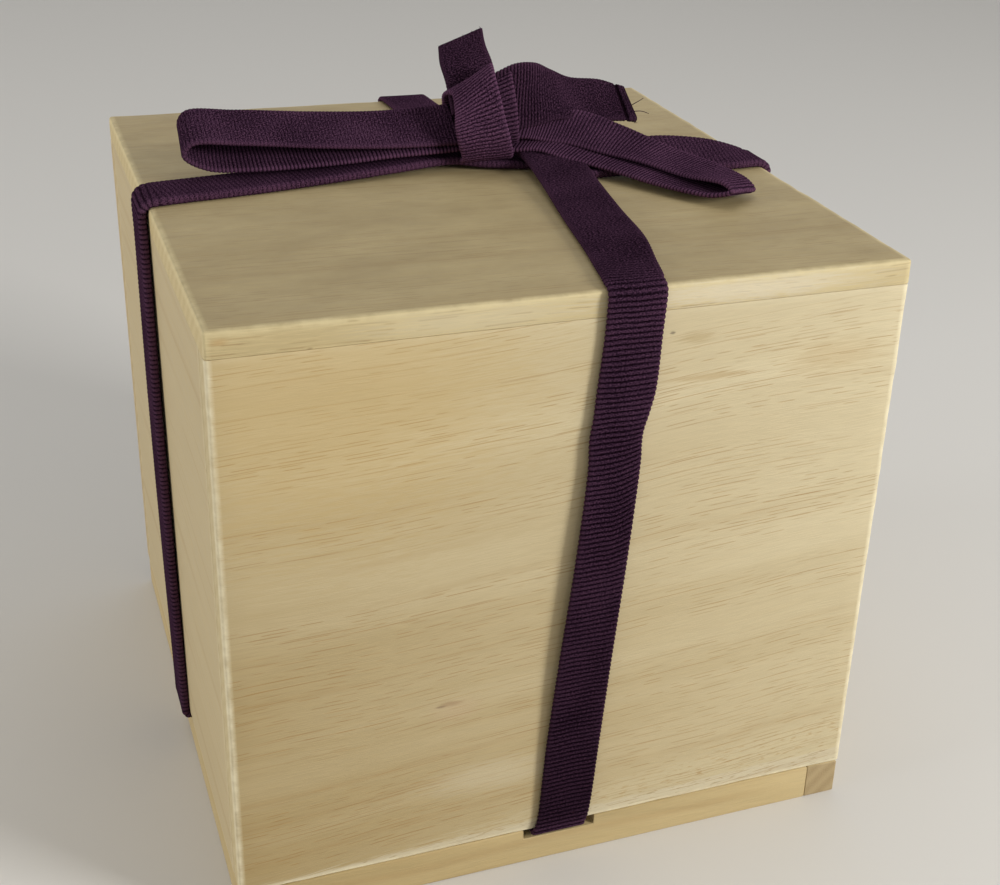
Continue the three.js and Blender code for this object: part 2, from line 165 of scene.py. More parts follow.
# Paulownia, planed and left bare: pale straw with thin brown vessel lines along the grain, matt, with a
# faint silky fibre. All lengths are millimetres.
woodLook = {
    "turn": (0.0, 0.0, 0.0),      # degrees that bring the grain to X
    "shift": (0.0, 0.0, 0.0),     # where in the tree this board was cut
    "pale": "#cfbd94",
    "tan": "#c3ad80",
    "line": "#93651d",
    "worn": "#d9caa4",
    "end": "#c3ad80",
    "endDark": "#a88f62",
    "bandWidth": 15.0,
    "bandShare": 0.22,
    "level": 0.5,                 # 0 is all tan and 1 all pale
    # painted light: paler towards the lamp, in place of its falloff
    "paintedLightDrift": (0.0, 0.0, 0.0),     # tan towards pale, per millimetre
    # vessel lines: row height, length, thickness, how many of them, strength
    "lines": [(1.9, 34.0, 0.22, 0.5, 0.6), (1.05, 9.0, 0.2, 0.48, 0.6), (12.0, 170.0, 1.5, 0.5, 0.15)],
    "lineLimit": 5,               # rows under this height come in clusters and dent the wood
    "lineFade": 0.14,             # how softly a line comes and goes
    "rowStep": 7.31,              # keeps neighbouring rows unlike each other
    "clusterWidth": 9.0,
    "fibreContrast": 0.07,
    "waverScale": 0.012,
    "waverReach": 7,
    "ringScale": 0.11,
    "poreScale": 2.2,
    "wear": 0.5,
    "wearScale": 0.3,
    "ior": 1.45,
    "roughness": (0.54, 0.68),
    "bumpDepth": 0.00012,
    "spots": [],                  # place, half sizes, colour, strength
    "sapwood": [],                # paler wood low on a board: its border's height and rise, colours, strength
    "paintedShadeTop": None,                 # colour and strength of the painted shade on the upper face
    "paintedShadePatches": (0.72, 1.28),  # that strength, where it is thinnest and thickest
}


def paulownia(name, **changes):
    look = {**woodLook, **changes}
    turn = Euler([math.radians(a) for a in look["turn"]])
    material, tree = newMaterial(name)
    coords = addNode(tree, "TexCoord")
    here = addNode(tree, "Mapping", {"Scale": (1000, 1000, 1000)}, {"Vector": coords.outputs["Object"]})
    grain = addNode(tree, "Mapping", {"Rotation": turn, "Location": look["shift"]}, {"Vector": here.outputs[0]})
    # slow waver of the grain
    waver = addNode(tree, "TexNoise", {"Scale": look["waverScale"], "Detail": 1.0}, {"Vector": grain.outputs[0]})
    waver = addNode(tree, "VectorMath", {1: (0.5, 0.5, 0.5)}, {0: waver.outputs["Color"]}, operation="SUBTRACT")
    waver = addNode(tree, "VectorMath", {1: (0, look["waverReach"], look["waverReach"])},
                    {0: waver.outputs[0]}, operation="MULTIPLY")
    grain = addNode(tree, "VectorMath", links={0: grain.outputs[0], 1: waver.outputs[0]}, operation="ADD")
    facing = addNode(tree, "VectorRotate", {"Rotation": turn}, {"Vector": coords.outputs["Normal"]},
                     rotation_type="EULER_XYZ")
    facing = addNode(tree, "SeparateXYZ", links={0: facing.outputs[0]})
    along = addNode(tree, "SeparateXYZ", links={0: grain.outputs[0]})
    # across the grain on the face that is seen: Z on upright faces, Y on flat ones
    flat = addNode(tree, "Math", links={0: facing.outputs["Z"]}, operation="ABSOLUTE")
    flat = addNode(tree, "Math", {1: 0.5}, {0: flat.outputs[0]}, operation="GREATER_THAN")
    across = addNode(tree, "Mix", links={0: flat.outputs[0], 2: along.outputs["Z"], 3: along.outputs["Y"]},
                     data_type="FLOAT")

    # soft marks along the grain: length, width, detail, and the noise where each starts and is full
    marks = {}
    sizes = {
        "band": (190.0, look["bandWidth"], 4.0, 0.3, 0.7),
        "cluster": (170.0, look["clusterWidth"], 0.0, 0.32, 0.52),
        "fibre": (9.0, 0.35, 3.0, 0.3, 0.7),
        "fleck": (3.2, 0.55, 2.0, 0.55, 0.75),
    }
    for mark, (length, width, detail, start, end) in sizes.items():
        stretched = addNode(tree, "VectorMath", {1: (1 / length, 1 / width, 1 / width)},
                            {0: grain.outputs[0]}, operation="MULTIPLY")
        pattern = addNode(tree, "TexNoise", {"Scale": 1.0, "Detail": detail, "Roughness": 0.55},
                          {"Vector": stretched.outputs[0]})
        marks[mark] = addNode(tree, "MapRange", {"From Min": start, "From Max": end},
                              {"Value": pattern.outputs[0]}, interpolation_type="SMOOTHSTEP")

    # painted light: tan towards pale along a direction, towards the lamp
    paintedLightDrift = addNode(tree, "VectorMath", {1: look["paintedLightDrift"]}, {0: here.outputs[0]}, operation="DOT_PRODUCT")
    tone = addNode(tree, "Math", {1: look["bandShare"], 2: look["level"] - look["bandShare"] / 2},
                   {0: marks["band"].outputs[0]}, operation="MULTIPLY_ADD")
    tone = addNode(tree, "Math", links={0: tone.outputs[0], 1: paintedLightDrift.outputs["Value"]}, operation="ADD",
                   use_clamp=True)
    base = addNode(tree, "Mix", {6: colour(look["tan"]), 7: colour(look["pale"])}, {0: tone.outputs[0]},
                   data_type="RGBA")
    for sap in look["sapwood"]:
        height = addNode(tree, "VectorMath", {1: (-sap["rise"], 0, 1)}, {0: here.outputs[0]},
                         operation="DOT_PRODUCT")
        ragged = addNode(tree, "Math", {1: 0.9 * sap["border"]},
                         {0: marks["fibre"].outputs[0], 2: height.outputs["Value"]}, operation="MULTIPLY_ADD")
        border = {"From Min": sap["height"] + sap["border"], "From Max": sap["height"], "To Max": sap["strength"]}
        inSap = addNode(tree, "MapRange", border, {"Value": ragged.outputs[0]}, interpolation_type="SMOOTHSTEP")
        base = addNode(tree, "Mix", {7: colour(sap["colour"])},
                       {0: inSap.outputs[0], 6: base.outputs[2]}, data_type="RGBA")
        flecked = addNode(tree, "Math", links={0: inSap.outputs[0], 1: marks["fleck"].outputs[0]},
                          operation="MULTIPLY")
        base = addNode(tree, "Mix", {7: colour(sap["fleck"])},
                       {0: flecked.outputs[0], 6: base.outputs[2]}, data_type="RGBA")

    # vessel lines: each row across the grain holds one thin line that comes and goes along it
    relief = marks["fibre"]
    for rowHeight, length, thickness, amount, strength in look["lines"]:
        rows = addNode(tree, "Math", {1: 1 / rowHeight}, {0: across.outputs[0]}, operation="MULTIPLY")
        row = addNode(tree, "Math", links={0: rows.outputs[0]}, operation="FLOOR")
        within = addNode(tree, "Math", links={0: rows.outputs[0], 1: row.outputs[0]}, operation="SUBTRACT")
        chance = addNode(tree, "TexWhiteNoise", links={"W": row.outputs[0]}, noise_dimensions="1D")
        chance = addNode(tree, "SeparateColor", links={0: chance.outputs["Color"]})
        where = addNode(tree, "MapRange", {"To Min": 0.25, "To Max": 0.75}, {"Value": chance.outputs[0]})
        away = addNode(tree, "Math", links={0: within.outputs[0], 1: where.outputs[0]}, operation="SUBTRACT")
        away = addNode(tree, "Math", links={0: away.outputs[0]}, operation="ABSOLUTE")
        thin = addNode(tree, "MapRange", {"From Min": thickness / rowHeight, "From Max": 0.0},
                       {"Value": away.outputs[0]}, interpolation_type="SMOOTHSTEP")
        stretch = addNode(tree, "Math", {1: 1 / length}, {0: along.outputs["X"]}, operation="MULTIPLY")
        apart = addNode(tree, "Math", {1: look["rowStep"]}, {0: row.outputs[0]}, operation="MULTIPLY")
        spot = addNode(tree, "CombineXYZ", links={0: stretch.outputs[0], 1: apart.outputs[0]})
        run = addNode(tree, "TexNoise", {"Scale": 1.0, "Detail": 1.0, "Roughness": 0.4},
                      {"Vector": spot.outputs[0]}, noise_dimensions="2D")
        run = addNode(tree, "MapRange", {"From Min": amount, "From Max": amount + look["lineFade"]},
                      {"Value": run.outputs[0]}, interpolation_type="SMOOTHSTEP")
        line = addNode(tree, "Math", links={0: thin.outputs[0], 1: run.outputs[0]}, operation="MULTIPLY")
        depth = addNode(tree, "MapRange", {"To Min": 0.35 * strength, "To Max": strength},
                        {"Value": chance.outputs[1]})
        line = addNode(tree, "Math", links={0: line.outputs[0], 1: depth.outputs[0]}, operation="MULTIPLY")
        if rowHeight < look["lineLimit"]:
            line = addNode(tree, "Math", links={0: line.outputs[0], 1: marks["cluster"].outputs[0]},
                           operation="MULTIPLY")
            relief = addNode(tree, "Math", links={0: relief.outputs[0], 1: line.outputs[0]}, operation="SUBTRACT")
        base = addNode(tree, "Mix", {7: colour(look["line"])}, {0: line.outputs[0], 6: base.outputs[2]},
                       data_type="RGBA")
    shade = addNode(tree, "MapRange",
                    {"To Min": 1 - look["fibreContrast"] / 2, "To Max": 1 + look["fibreContrast"] / 2},
                    {"Value": marks["fibre"].outputs[0]})
    base = addNode(tree, "VectorMath", links={0: base.outputs[2], "Scale": shade.outputs[0]}, operation="SCALE")
    tone = base.outputs[0]

    if look["paintedShadeTop"]:
        # painted shade greys the upper face, in patches
        paintedShadeTop = addNode(tree, "MapRange", {"From Min": 0.5, "From Max": 0.9, "To Max": look["paintedShadeTop"][1]},
                       {"Value": facing.outputs["Z"]})
        patches = addNode(tree, "Mapping", {"Scale": (0.03, 0.06, 0.06)}, {"Vector": here.outputs[0]})
        patches = addNode(tree, "TexNoise", {"Scale": 1.0, "Detail": 5.0, "Roughness": 0.65},
                          {"Vector": patches.outputs[0]})
        thinnest, thickest = look["paintedShadePatches"]
        patches = addNode(tree, "MapRange",
                          {"From Min": 0.3, "From Max": 0.7, "To Min": thinnest, "To Max": thickest},
                          {"Value": patches.outputs[0]})
        paintedShadeTop = addNode(tree, "Math", links={0: paintedShadeTop.outputs[0], 1: patches.outputs[0]}, operation="MULTIPLY")
        greyed = addNode(tree, "Mix", {7: colour(look["paintedShadeTop"][0])}, {0: paintedShadeTop.outputs[0], 6: tone},
                         data_type="RGBA")
        tone = greyed.outputs[2]
    # patches, ragged along the fibre
    for spotPlace, spotSize, spotColour, spotStrength in look["spots"]:
        away = addNode(tree, "VectorMath", {1: spotPlace}, {0: here.outputs[0]}, operation="SUBTRACT")
        away = addNode(tree, "VectorMath", {1: [1 / s for s in spotSize]}, {0: away.outputs[0]},
                       operation="MULTIPLY")
        away = addNode(tree, "VectorMath", links={0: away.outputs[0]}, operation="LENGTH")
        away = addNode(tree, "Math", {1: 0.4}, {0: marks["fibre"].outputs[0], 2: away.outputs["Value"]},
                       operation="MULTIPLY_ADD")
        inside = addNode(tree, "MapRange", {"From Min": 1.2, "From Max": 0.4, "To Max": spotStrength},
                         {"Value": away.outputs[0]}, interpolation_type="SMOOTHSTEP")
        spot = addNode(tree, "Mix", {7: colour(spotColour)}, {0: inside.outputs[0], 6: tone}, data_type="RGBA")
        tone = spot.outputs[2]

    # end grain: rings crossed by fine pores
    ringed = addNode(tree, "TexWave",
                     {"Scale": look["ringScale"], "Distortion": 0.8, "Detail": 2.0, "Detail Scale": 0.5},
                     {"Vector": grain.outputs[0]}, wave_type="BANDS", bands_direction="DIAGONAL")
    pores = addNode(tree, "TexNoise", {"Scale": look["poreScale"], "Detail": 1.0}, {"Vector": here.outputs[0]})
    ringed = addNode(tree, "Math", links={0: ringed.outputs["Fac"], 1: pores.outputs[0]}, operation="MULTIPLY")
    cut = addNode(tree, "Mix", {6: colour(look["end"]), 7: colour(look["endDark"])},
                  {0: ringed.outputs[0]}, data_type="RGBA")
    atEnd = addNode(tree, "Math", links={0: facing.outputs["X"]}, operation="ABSOLUTE")
    atEnd = addNode(tree, "MapRange", {"From Min": 0.6, "From Max": 0.85}, {"Value": atEnd.outputs[0]})
    whole = addNode(tree, "Mix", links={0: atEnd.outputs[0], 6: tone, 7: cut.outputs[2]}, data_type="RGBA")

    # arrises are paler where handling has rubbed them
    edge = addNode(tree, "Attribute", attribute_name="wear")
    rubbed = addNode(tree, "TexNoise", {"Scale": look["wearScale"], "Detail": 3.0}, {"Vector": here.outputs[0]})
    rubbed = addNode(tree, "MapRange",
                     {"From Min": 0.3, "From Max": 0.65, "To Min": 0.4 * look["wear"], "To Max": look["wear"]},
                     {"Value": rubbed.outputs[0]})
    rubbed = addNode(tree, "Math", links={0: rubbed.outputs[0], 1: edge.outputs["Fac"]}, operation="MULTIPLY")
    worn = addNode(tree, "Mix", {7: colour(look["worn"])}, {0: rubbed.outputs[0], 6: whole.outputs[2]},
                   data_type="RGBA")

    bump = addNode(tree, "Bump", {"Strength": 0.3, "Distance": look["bumpDepth"]}, {"Height": relief.outputs[0]})
    gloss = addNode(tree, "MapRange", {"To Min": look["roughness"][0], "To Max": look["roughness"][1]},
                    {"Value": marks["fibre"].outputs[0]})
    shader = addNode(tree, "BsdfPrincipled", {"IOR": look["ior"]},
                     {"Base Color": worn.outputs[2], "Roughness": gloss.outputs[0], "Normal": bump.outputs[0]})
    addNode(tree, "OutputMaterial", links={"Surface": shader.outputs[0]})
    return material


def addPiece(name, bm, material, smoothAngle=35):
    mesh = bpy.data.meshes.new(name)
    bm.to_mesh(mesh)
    bm.free()
    mesh.materials.append(material)
    mesh.polygons.foreach_set("use_smooth", [True] * len(mesh.polygons))
    mesh.set_sharp_from_angle(angle=math.radians(smoothAngle))
    piece = bpy.data.objects.new(name, mesh)
    bpy.context.scene.collection.objects.link(piece)
    return piece


# How the boards are planed, in millimetres
planing = {
    "seamGap": 0.06,       # under the lid
    "seamEasing": 0.12,    # of the arrises at the seam, which stay crisp
    "seamBand": 2,         # how near the seam an arris counts as crisp
    "seamWaver": 0.02,     # how far such an arris wavers, and how worn it is
    "seamWear": 0.15,
    "margin": 1.9,         # from an arris to the first cut across the board
    "cutPitch": 5.0,
    "waverPitch": 4,       # over what length an arris wavers
    "stripEasing": 0.22,   # of the arrises of strips and battens
}


# A planed board: eased arrises that waver a little, as hand work does
def planedBoard(name, node, material, body, easing=0.5, waver=0.12, crisp=None):
    low, high = (Vector(corner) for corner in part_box(node))
    if crisp == "top":
        high.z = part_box("lid_board")[0][2] - planing["seamGap"] * mm
    bm = bmesh.new()
    bmesh.ops.create_cube(bm, size=1)
    bmesh.ops.scale(bm, vec=high - low, verts=bm.verts)
    bmesh.ops.translate(bm, vec=(low + high) / 2, verts=bm.verts)
    margin = planing["margin"] * mm
    for axis in range(3):
        length = high[axis] - low[axis]
        count = max(1, round((length - 2 * margin) / (planing["cutPitch"] * mm)))
        normal = Vector([float(axis == i) for i in range(3)])
        for i in range(count + 1):
            at = low.copy()
            at[axis] += margin + (length - 2 * margin) * i / count
            bmesh.ops.bisect_plane(bm, geom=bm.verts[:] + bm.edges[:] + bm.faces[:], plane_co=at,
                                   plane_no=normal)
    seamEasing = planing["seamEasing"]
    level = {"top": high.z, "bottom": low.z}.get(crisp, math.inf)
    for offset, wanted in ((easing, False), (seamEasing, True)):
        arrises = [e for e in bm.edges if e.is_manifold and e.calc_face_angle() > 1
                   and all(abs(v.co.z - level) < 1e-6 for v in e.verts) == wanted]
        if arrises:
            bmesh.ops.bevel(bm, geom=arrises, offset=offset * mm, offset_type="OFFSET", segments=3, profile=0.5,
                            affect="EDGES", material=-1)
    wear = bm.verts.layers.float.new("wear")
    for v in bm.verts:
        limits = [easing, easing, seamEasing if abs(v.co.z - level) < planing["seamBand"] * mm else easing]
        near = [min(v.co[i] - low[i], high[i] - v.co[i]) < limits[i] * mm * 1.05 for i in range(3)]
        v[wear] = 0.0
        if sum(near) > 1:
            atSeam = near[2] and limits[2] < easing and sum(near) == 2
            v[wear] = planing["seamWear"] if atSeam else 1.0
            reach = planing["seamWaver"] if atSeam else waver
            pull = (0.5 + 0.5 * noise.noise(v.co / (planing["waverPitch"] * mm))) * reach * mm
            for i in range(3):
                if near[i]:
                    v.co[i] += pull if v.co[i] - low[i] < high[i] - v.co[i] else -pull
    piece = addPiece(name, bm, material)
    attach(piece, body)
    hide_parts(node)


# A strip copied from its CAD solid, with its notch and peg holes, and softened arrises
def planedStrip(name, node, material, body):
    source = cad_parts[node]
    bm = bmesh.new()
    bm.from_mesh(source.data)
    bmesh.ops.transform(bm, matrix=source.matrix_world, verts=bm.verts)
    bmesh.ops.remove_doubles(bm, verts=bm.verts, dist=2e-6)
    bmesh.ops.dissolve_limit(bm, angle_limit=math.radians(1), verts=bm.verts, edges=bm.edges)
    piece = addPiece(name, bm, material)
    rounding = piece.modifiers.new("softArris", "BEVEL")
    rounding.width = planing["stripEasing"] * mm
    rounding.segments = 2
    rounding.limit_method = "ANGLE"
    rounding.angle_limit = math.radians(40)
    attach(piece, body)
    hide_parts(node)


frontLook = {
    "turn": (0, 4.2, 0), "shift": (13, 0, 7),
    # painted light: the front is painted paler towards the right and top, where the lamp is nearer
    "pale": "#d2c39e", "tan": "#a38a57", "level": 0.37, "paintedLightDrift": (0.0032, 0, 0.0030),
    "end": "#c9b78b", "endDark": "#bca87b", "worn": "#ebdfbc", "wear": 0.9,
    "sapwood": [
        {"height": 19.0, "rise": 0.11, "border": 4.5, "colour": "#cbbc96", "strength": 0.6, "fleck": "#a9834c"},
        {"height": 14.6, "rise": 0.022, "border": 1.2, "colour": "#d2c6a8", "strength": 0.7, "fleck": "#a08a60"},
    ],
    "spots": [
        # a warm upper left, a small knot in three layers, a grey smudge in two, and soft patches
        ((-62.0, -87.7, 150.0), (75.0, 5.0, 60.0), "#cdaa60", 0.3),
        ((-31.5, -87.7, 58.3), (4.6, 4.0, 1.1), "#8a6a45", 0.55),
        ((-34.0, -87.7, 57.8), (1.6, 4.0, 0.45), "#54402a", 0.6),
        ((-30.0, -87.7, 56.0), (9.0, 4.0, 5.0), "#c0a784", 0.4),
        ((22.6, -87.7, 153.5), (1.0, 2.0, 0.6), "#4f4436", 0.65),
        ((29.0, -87.7, 151.6), (6.5, 4.0, 2.2), "#a68c5c", 0.4),
        ((33.5, -87.7, 140.9), (16.0, 4.0, 1.5), "#a5834a", 0.4),
        ((68.9, -87.7, 142.3), (20.0, 4.0, 7.0), "#b89a66", 0.3),
        ((-20.0, -87.7, 33.0), (24.0, 4.0, 7.0), "#d6cbae", 0.3),
    ],
}
planedBoard("front_board", "front_wall", paulownia("paulowniaFront", **frontLook), "box", easing=0.7, waver=0.3,
            crisp="top")
planedBoard("back_board", "back_wall", paulownia("paulowniaBack", turn=(0, -3, 0), shift=(90, 40, -33)), "box")
sideLook = {
    "pale": "#c6b48c", "tan": "#bca87e", "clusterWidth": 16.0,
    "lines": [(2.6, 60.0, 0.4, 0.5, 0.3), (14.0, 170.0, 2.2, 0.45, 0.22)],
}
planedBoard("left_board", "left_wall",
            paulownia("paulowniaLeft", turn=(0, 0, -90), shift=(210, -60, 15), **sideLook), "box", crisp="top")
planedBoard("right_board", "right_wall",
            paulownia("paulowniaRight", turn=(0, 0, -90), shift=(-150, 80, 61), **sideLook), "box", crisp="top")
planedBoard("floor_board", "bottom_board", paulownia("paulowniaBottom", shift=(40, 120, -80)), "box")

lidLook = {
    "turn": (0, 0, 1.5), "shift": (-70, 33, 5),
    "pale": "#cfbe92", "tan": "#bfab7c", "line": "#876638", "worn": "#ddcc9c",
    "lines": [(1.2, 8.0, 0.3, 0.5, 0.5), (2.1, 26.0, 0.3, 0.48, 0.4), (15.0, 170.0, 2.4, 0.48, 0.3)],
    "fibreContrast": 0.15, "wear": 0.65, "end": "#cdb988", "endDark": "#bfa976", "paintedShadeTop": ("#836f49", 0.55),
    "spots": [
        # along the front edge: a stain at the corner, painted light that leaves the edge darker at the left and
        # paler towards the right, and a nick at the seam
        ((-83.5, -87.6, 163.4), (3.2, 1.2, 1.2), "#b98a4e", 0.4),
        ((-75.0, -88.0, 162.0), (40.0, 2.0, 6.0), "#a98e58", 0.2),
        ((-25.0, -88.0, 162.5), (40.0, 2.0, 5.0), "#dfd3b4", 0.3),
        ((42.0, -88.0, 162.8), (50.0, 2.0, 5.0), "#e9dfc8", 0.45),
        ((-64.2, -87.9, 159.6), (1.3, 2.0, 0.5), "#7c5f3a", 0.6),
    ],
}
planedBoard("lid_top_board", "lid_board", paulownia("paulowniaLid", **lidLook), "lid", easing=0.7, waver=0.25,
            crisp="bottom")

rimLook = {
    "pale": "#cdb889", "tan": "#a78c55", "line": "#9a7038", "end": "#b19b73", "endDark": "#99825a",
    "lines": [(2.6, 40.0, 0.4, 0.52, 0.35), (9.0, 170.0, 2.2, 0.45, 0.25)], "level": 0.75, "wear": 0.0,
}
rimChanges = {
    # painted light: the front rim is painted paler towards the right, where the lamp is
    "front": {"level": 0.66, "paintedLightDrift": (0.0018, 0, 0)},
    "right": {"spots": [((80.5, -87.7, 2.0), (4.0, 3.0, 4.0), "#a67c34", 0.45)]},
}
battenLook = {"pale": "#d6c49b", "tan": "#c9b486", "wear": 0.0}
for side, turn in (("front", 0), ("back", 0), ("left", -90), ("right", -90)):
    shift = (random.uniform(-200, 200), random.uniform(-90, 90), random.uniform(-90, 90))
    planedStrip("rim_" + side, "rim_strip_" + side,
                paulownia("paulowniaRim" + side.capitalize(), turn=(0, 0, turn), shift=shift,
                          **{**rimLook, **rimChanges.get(side, {})}),
                "box")
    planedStrip("batten_" + side, "lid_batten_" + side,
                paulownia("paulowniaBatten" + side.capitalize(), turn=(0, 0, turn), shift=shift, **battenLook),
                "lid")

# Pegs: cut from deutzia wood, so their ends are darker and closer grained than the board
pegLook = {
    "pale": "#b08d5a", "tan": "#9c7947", "line": "#6f5230", "end": "#a9844f", "endDark": "#7a5b34",
    "lines": [(0.7, 6.0, 0.15, 0.5, 0.5)], "wear": 0.0,
}
pegWood = paulownia("deutziaPeg", turn=(0, 90, 0), **pegLook)
for name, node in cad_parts.items():
    if "_peg_" in name:
        for materialSlot in node.material_slots:
            materialSlot.material = pegWood
print("case, lid and rim made")


# The tape: a flat purple silk-and-cotton tape woven in ribs, 15 mm wide. Lengths are millimetres.
tapeLook = {
    "width": 15.0,
    "thickness": 1.4,
    "sideThickness": 2.3,    # of the tape from left to right, which shows its edge
    "pitch": 1.34,           # of the ribs, where the tape runs straight
    "knotPitch": 1.05,       # and where it is pulled into the bow
    "ribHeight": 0.19,
    "ribShape": 0.7,         # under 1 makes the ribs broad and the grooves narrow
    "ribWaver": 0.3,         # how far the ribs stray, over what length, and how often across the tape
    "waverLength": 11,
    "waverAcross": 1.4,
    "beadDepth": 0.22,
    "beadShare": 0.6,        # how much of the bead is left where the tape is smooth
    "beadFrom": 0.84,        # the bead starts here, as a share of the half width
    "beadWidth": 0.16,
    "curlFrom": 0.05,        # curled ribs bend from here to the edge
    "curlBend": 1.6,
    "hemCrease": 0.5,        # half the width of the crease where a hem ends
    "creaseSwell": 0.8,      # how thick the tape is in that crease and in the hem
    "hemSwell": 1.35,
    "hemRibs": 0.3,          # how much of the ribs is left in the hem
    "stepsPerRib": 6,
    "dark": "#14080f",
    "base": "#342132",
    "light": "#66445c",
    "sheen": 0.04,
    "sheenTint": "#9a6a92",
    "threadShare": (0.75, 1.4),    # of the speckle, on the ribs and where the tape is smooth
    "threadPitch": (0.36, 0.33),   # along and across, in the map's two directions
    "grooveShade": -0.36,               # painted shade: how dark the grooves are painted, and painted highlight: how pale the rib tops
    "ribTopHighlight": 0.28,
    "selvedge": 0.24,              # how much paler the rib ends are
}
# the section, as shares of the half width and half thickness: the upper side, then once round
sectionTop = [(0.94, 0.92), (0.86, 1.0), (0.64, 0.97), (0.42, 0.95), (0.2, 0.95), (0, 0.95),
              (-0.2, 0.95), (-0.42, 0.95), (-0.64, 0.97), (-0.86, 1.0), (-0.94, 0.92)]
section = (sectionTop + [(-1, 0.45), (-1, -0.45)] + [(-x, -y) for x, y in sectionTop]
           + [(1, -0.45), (1, 0.45)])

fineStep = 0.25      # the first steps along a route, before it is cut to even ones, in millimetres
fewestSteps = 8      # between two of its rows


# A smooth route through rows of place, way of the width, share of the ribs, share of the width, tone and
# how far the ribs curl back at one edge, at an even step
def smoothRoute(rows, step):
    full = [tuple(row) + (1.0, 1.0, 1.0, 0.0)[len(row) - 6:] for row in rows]
    first = tuple(2 * a - b for a, b in zip(full[0][:3], full[1][:3])) + full[0][3:]
    last = tuple(2 * a - b for a, b in zip(full[-1][:3], full[-2][:3])) + full[-1][3:]
    full = [first] + full + [last]
    fine = []
    for i in range(1, len(full) - 2):
        near = full[i - 1:i + 3]
        knots = [0.0]
        for a, b in zip(near, near[1:]):
            knots.append(knots[-1] + max(math.dist(a[:3], b[:3]), 1e-6) ** 0.5)
        spans = max(fewestSteps, int(math.dist(near[1][:3], near[2][:3]) / fineStep))
        for j in range(spans):
            t = knots[1] + (knots[2] - knots[1]) * j / spans
            point = []
            for values in zip(*near):
                a = [(values[k] * (knots[k + 1] - t) + values[k + 1] * (t - knots[k])) / (knots[k + 1] - knots[k])
                     for k in range(3)]
                b = [(a[k] * (knots[k + 2] - t) + a[k + 1] * (t - knots[k])) / (knots[k + 2] - knots[k])
                     for k in range(2)]
                point.append((b[0] * (knots[2] - t) + b[1] * (t - knots[1])) / (knots[2] - knots[1]))
            fine.append(point)
    fine.append(list(full[-2]))
    travelled = [0.0]
    for a, b in zip(fine, fine[1:]):
        travelled.append(travelled[-1] + math.dist(a[:3], b[:3]))
    count = max(2, round(travelled[-1] / step))
    route, j = [], 0
    for i in range(count + 1):
        target = travelled[-1] * i / count
        while j < len(fine) - 2 and travelled[j + 1] < target:
            j += 1
        share = (target - travelled[j]) / max(travelled[j + 1] - travelled[j], 1e-9)
        point = [a + (b - a) * share for a, b in zip(fine[j], fine[j + 1])]
        route.append((Vector(point[:3]), Vector(point[3:6]).normalized(), min(max(point[6], 0), 1), *point[7:]))
    return route, travelled[-1]


# Ribs stand across the tape and end in a bead on each edge. hem is how far the far end is turned back, in
# millimetres.
def ribbedTape(name, rows, nodes, pitch, width=tapeLook["width"], thickness=tapeLook["thickness"], hem=0,
               tone=1.0):
    steps = tapeLook["stepsPerRib"]
    route, length = smoothRoute(rows, pitch / steps)
    rings = len(route) - 1
    around = len(section)
    bm = bmesh.new()
    uv = bm.loops.layers.uv.new("UVMap")
    fade = bm.verts.layers.float.new("ribShare")
    ridge = bm.verts.layers.float.new("rib")
    bead = bm.verts.layers.float.new("bead")
    shade = bm.verts.layers.float.new("tone")
    bmesh.ops.create_grid(bm, x_segments=rings, y_segments=around, size=0.5, calc_uvs=True)
    frames = []
    for i, (middle, across, *shares) in enumerate(route):
        ahead = (route[min(i + 1, rings)][0] - route[max(i - 1, 0)][0]).normalized()
        frames.append((middle, across, ahead.cross(across).normalized(), ahead, *shares))
    seed = random.uniform(0, 50)
    for v in bm.verts:
        i = round((v.co.x + 0.5) * rings)
        k = round((v.co.y + 0.5) * around) % around
        middle, across, up, ahead, share, wide, paintedShade, curl = frames[i]
        x, y = section[k]
        rib = abs(math.cos(math.pi * i / steps)) ** tapeLook["ribShape"]
        along = length * i / rings
        fromEnd = length - along
        stray = noise.noise(Vector((x * tapeLook["waverAcross"], along / tapeLook["waverLength"], seed)))
        slant = stray * tapeLook["ribWaver"] * share
        slant -= curl * max(0.0, x - tapeLook["curlFrom"]) ** tapeLook["curlBend"]
        swell = 1.0
        if hem and abs(fromEnd - hem) < tapeLook["hemCrease"]:
            rib, share, swell = 0.0, 1.0, tapeLook["creaseSwell"]
        elif fromEnd < hem:
            share, swell = tapeLook["hemRibs"], tapeLook["hemSwell"]
        low = thickness / 2 - tapeLook["ribHeight"] * share
        thick = (low + tapeLook["ribHeight"] * share * rib) * swell
        half = width / 2 * wide - tapeLook["beadDepth"] * (1 - rib) * max(share, tapeLook["beadShare"])
        v.co = (middle + across * x * half + up * y * thick + ahead * slant) * mm
        v[fade] = share
        v[ridge] = rib
        v[bead] = max(0.0, (abs(x) - tapeLook["beadFrom"]) / tapeLook["beadWidth"])
        # painted light and shade: each row and piece brightens or darkens the cloth by its tone
        v[shade] = paintedShade * tone
    for face in bm.faces:
        for loop in face.loops:
            u, w = loop[uv].uv
            loop[uv].uv = (w * 2 * width * mm, u * length * mm)
    bmesh.ops.remove_doubles(bm, verts=bm.verts, dist=1e-6)
    bmesh.ops.holes_fill(bm, edges=[e for e in bm.edges if e.is_boundary], sides=0)
    bmesh.ops.recalc_face_normals(bm, faces=bm.faces)
    piece = addPiece(name, bm, tapeCloth, smoothAngle=80)
    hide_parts(*nodes)
    return piece, length * mm
